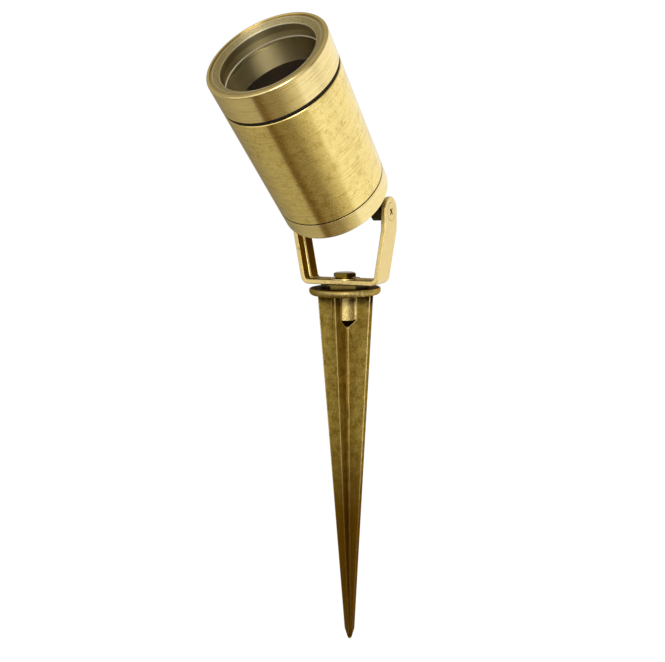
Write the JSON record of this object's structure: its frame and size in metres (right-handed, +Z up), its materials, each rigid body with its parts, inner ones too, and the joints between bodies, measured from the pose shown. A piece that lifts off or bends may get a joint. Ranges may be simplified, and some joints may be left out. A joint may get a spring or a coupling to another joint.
{
  "type": "garden spike spotlight",
  "caption": "Solid brass garden spotlight: a cylindrical head with a recessed glass, tilting in a U yoke that turns on a tapering cruciform ground spike.",
  "frame": {"origin": "on the swivel axis at ground level, the underside of the flange when the spike is pushed in", "axes": "+Z up along the swivel axis, +X along the tilt axis, the head points to -Y and up at rest"},
  "size_m": [0.06, 0.1175, 0.3548],
  "materials": {
    "brass_brushed": "turned and brushed round, lightly patinated",
    "brass_cast": "cast and tumbled",
    "brass_cast_spike": "rough sand cast, darkened",
    "brass_fastener": "machined",
    "rubber_black": "moulded silicone",
    "rubber_clear": "milky silicone",
    "glass_clear": "clear toughened",
    "glass_smoked": "dark lamp face",
    "aluminium": "spun",
    "steel": "zinc plated",
    "ceramic": "glazed ceramic",
    "led_board": "phosphor face",
    "plastic_block": "moulded nylon",
    "lead_insulation": "silicone sleeve"
  },
  "bodies": {
    "spike": {"spike": "brass_cast_spike", "swivel_spacer": "brass_fastener", "swivel_bolt": "brass_fastener", "swivel_lock_washer": "brass_fastener"},
    "yoke": {"yoke": "brass_cast"},
    "head": {"head_body": "brass_brushed", "bezel": "brass_brushed", "rear_cap": "brass_brushed", "pivot_screws": "brass_fastener", "gland_body": "brass_fastener", "gland_nut": "brass_fastener", "gland_locknut": "brass_fastener", "terminal_screws": "brass_fastener", "terminal_fixing_screw": "brass_fastener", "lamp_pins": "brass_fastener", "front_o_ring": "rubber_black", "rear_o_ring": "rubber_black", "gland_seal": "rubber_black", "pivot_washers": "rubber_black", "lens_gasket": "rubber_clear", "lens_glass": "glass_clear", "lamp_lens": "glass_smoked", "lamp_reflector": "aluminium", "holder_plate": "aluminium", "holder_screws": "steel", "lamp_holder": "ceramic", "lamp_base": "ceramic", "lamp_led": "led_board", "terminal_block": "plastic_block", "holder_leads": "lead_insulation"}
  },
  "joints": [
    {"name": "yoke_turn", "type": "hinge", "parent": "spike", "child": "yoke", "pos_m": [0, 0, 0.0061], "axis": [0, 0, 1], "continuous": true},
    {"name": "head_tilt", "type": "hinge", "parent": "yoke", "child": "head", "pos_m": [0, 0, 0.0462], "axis": [1, 0, 0], "range_deg": [-150, 54]}
  ]
}
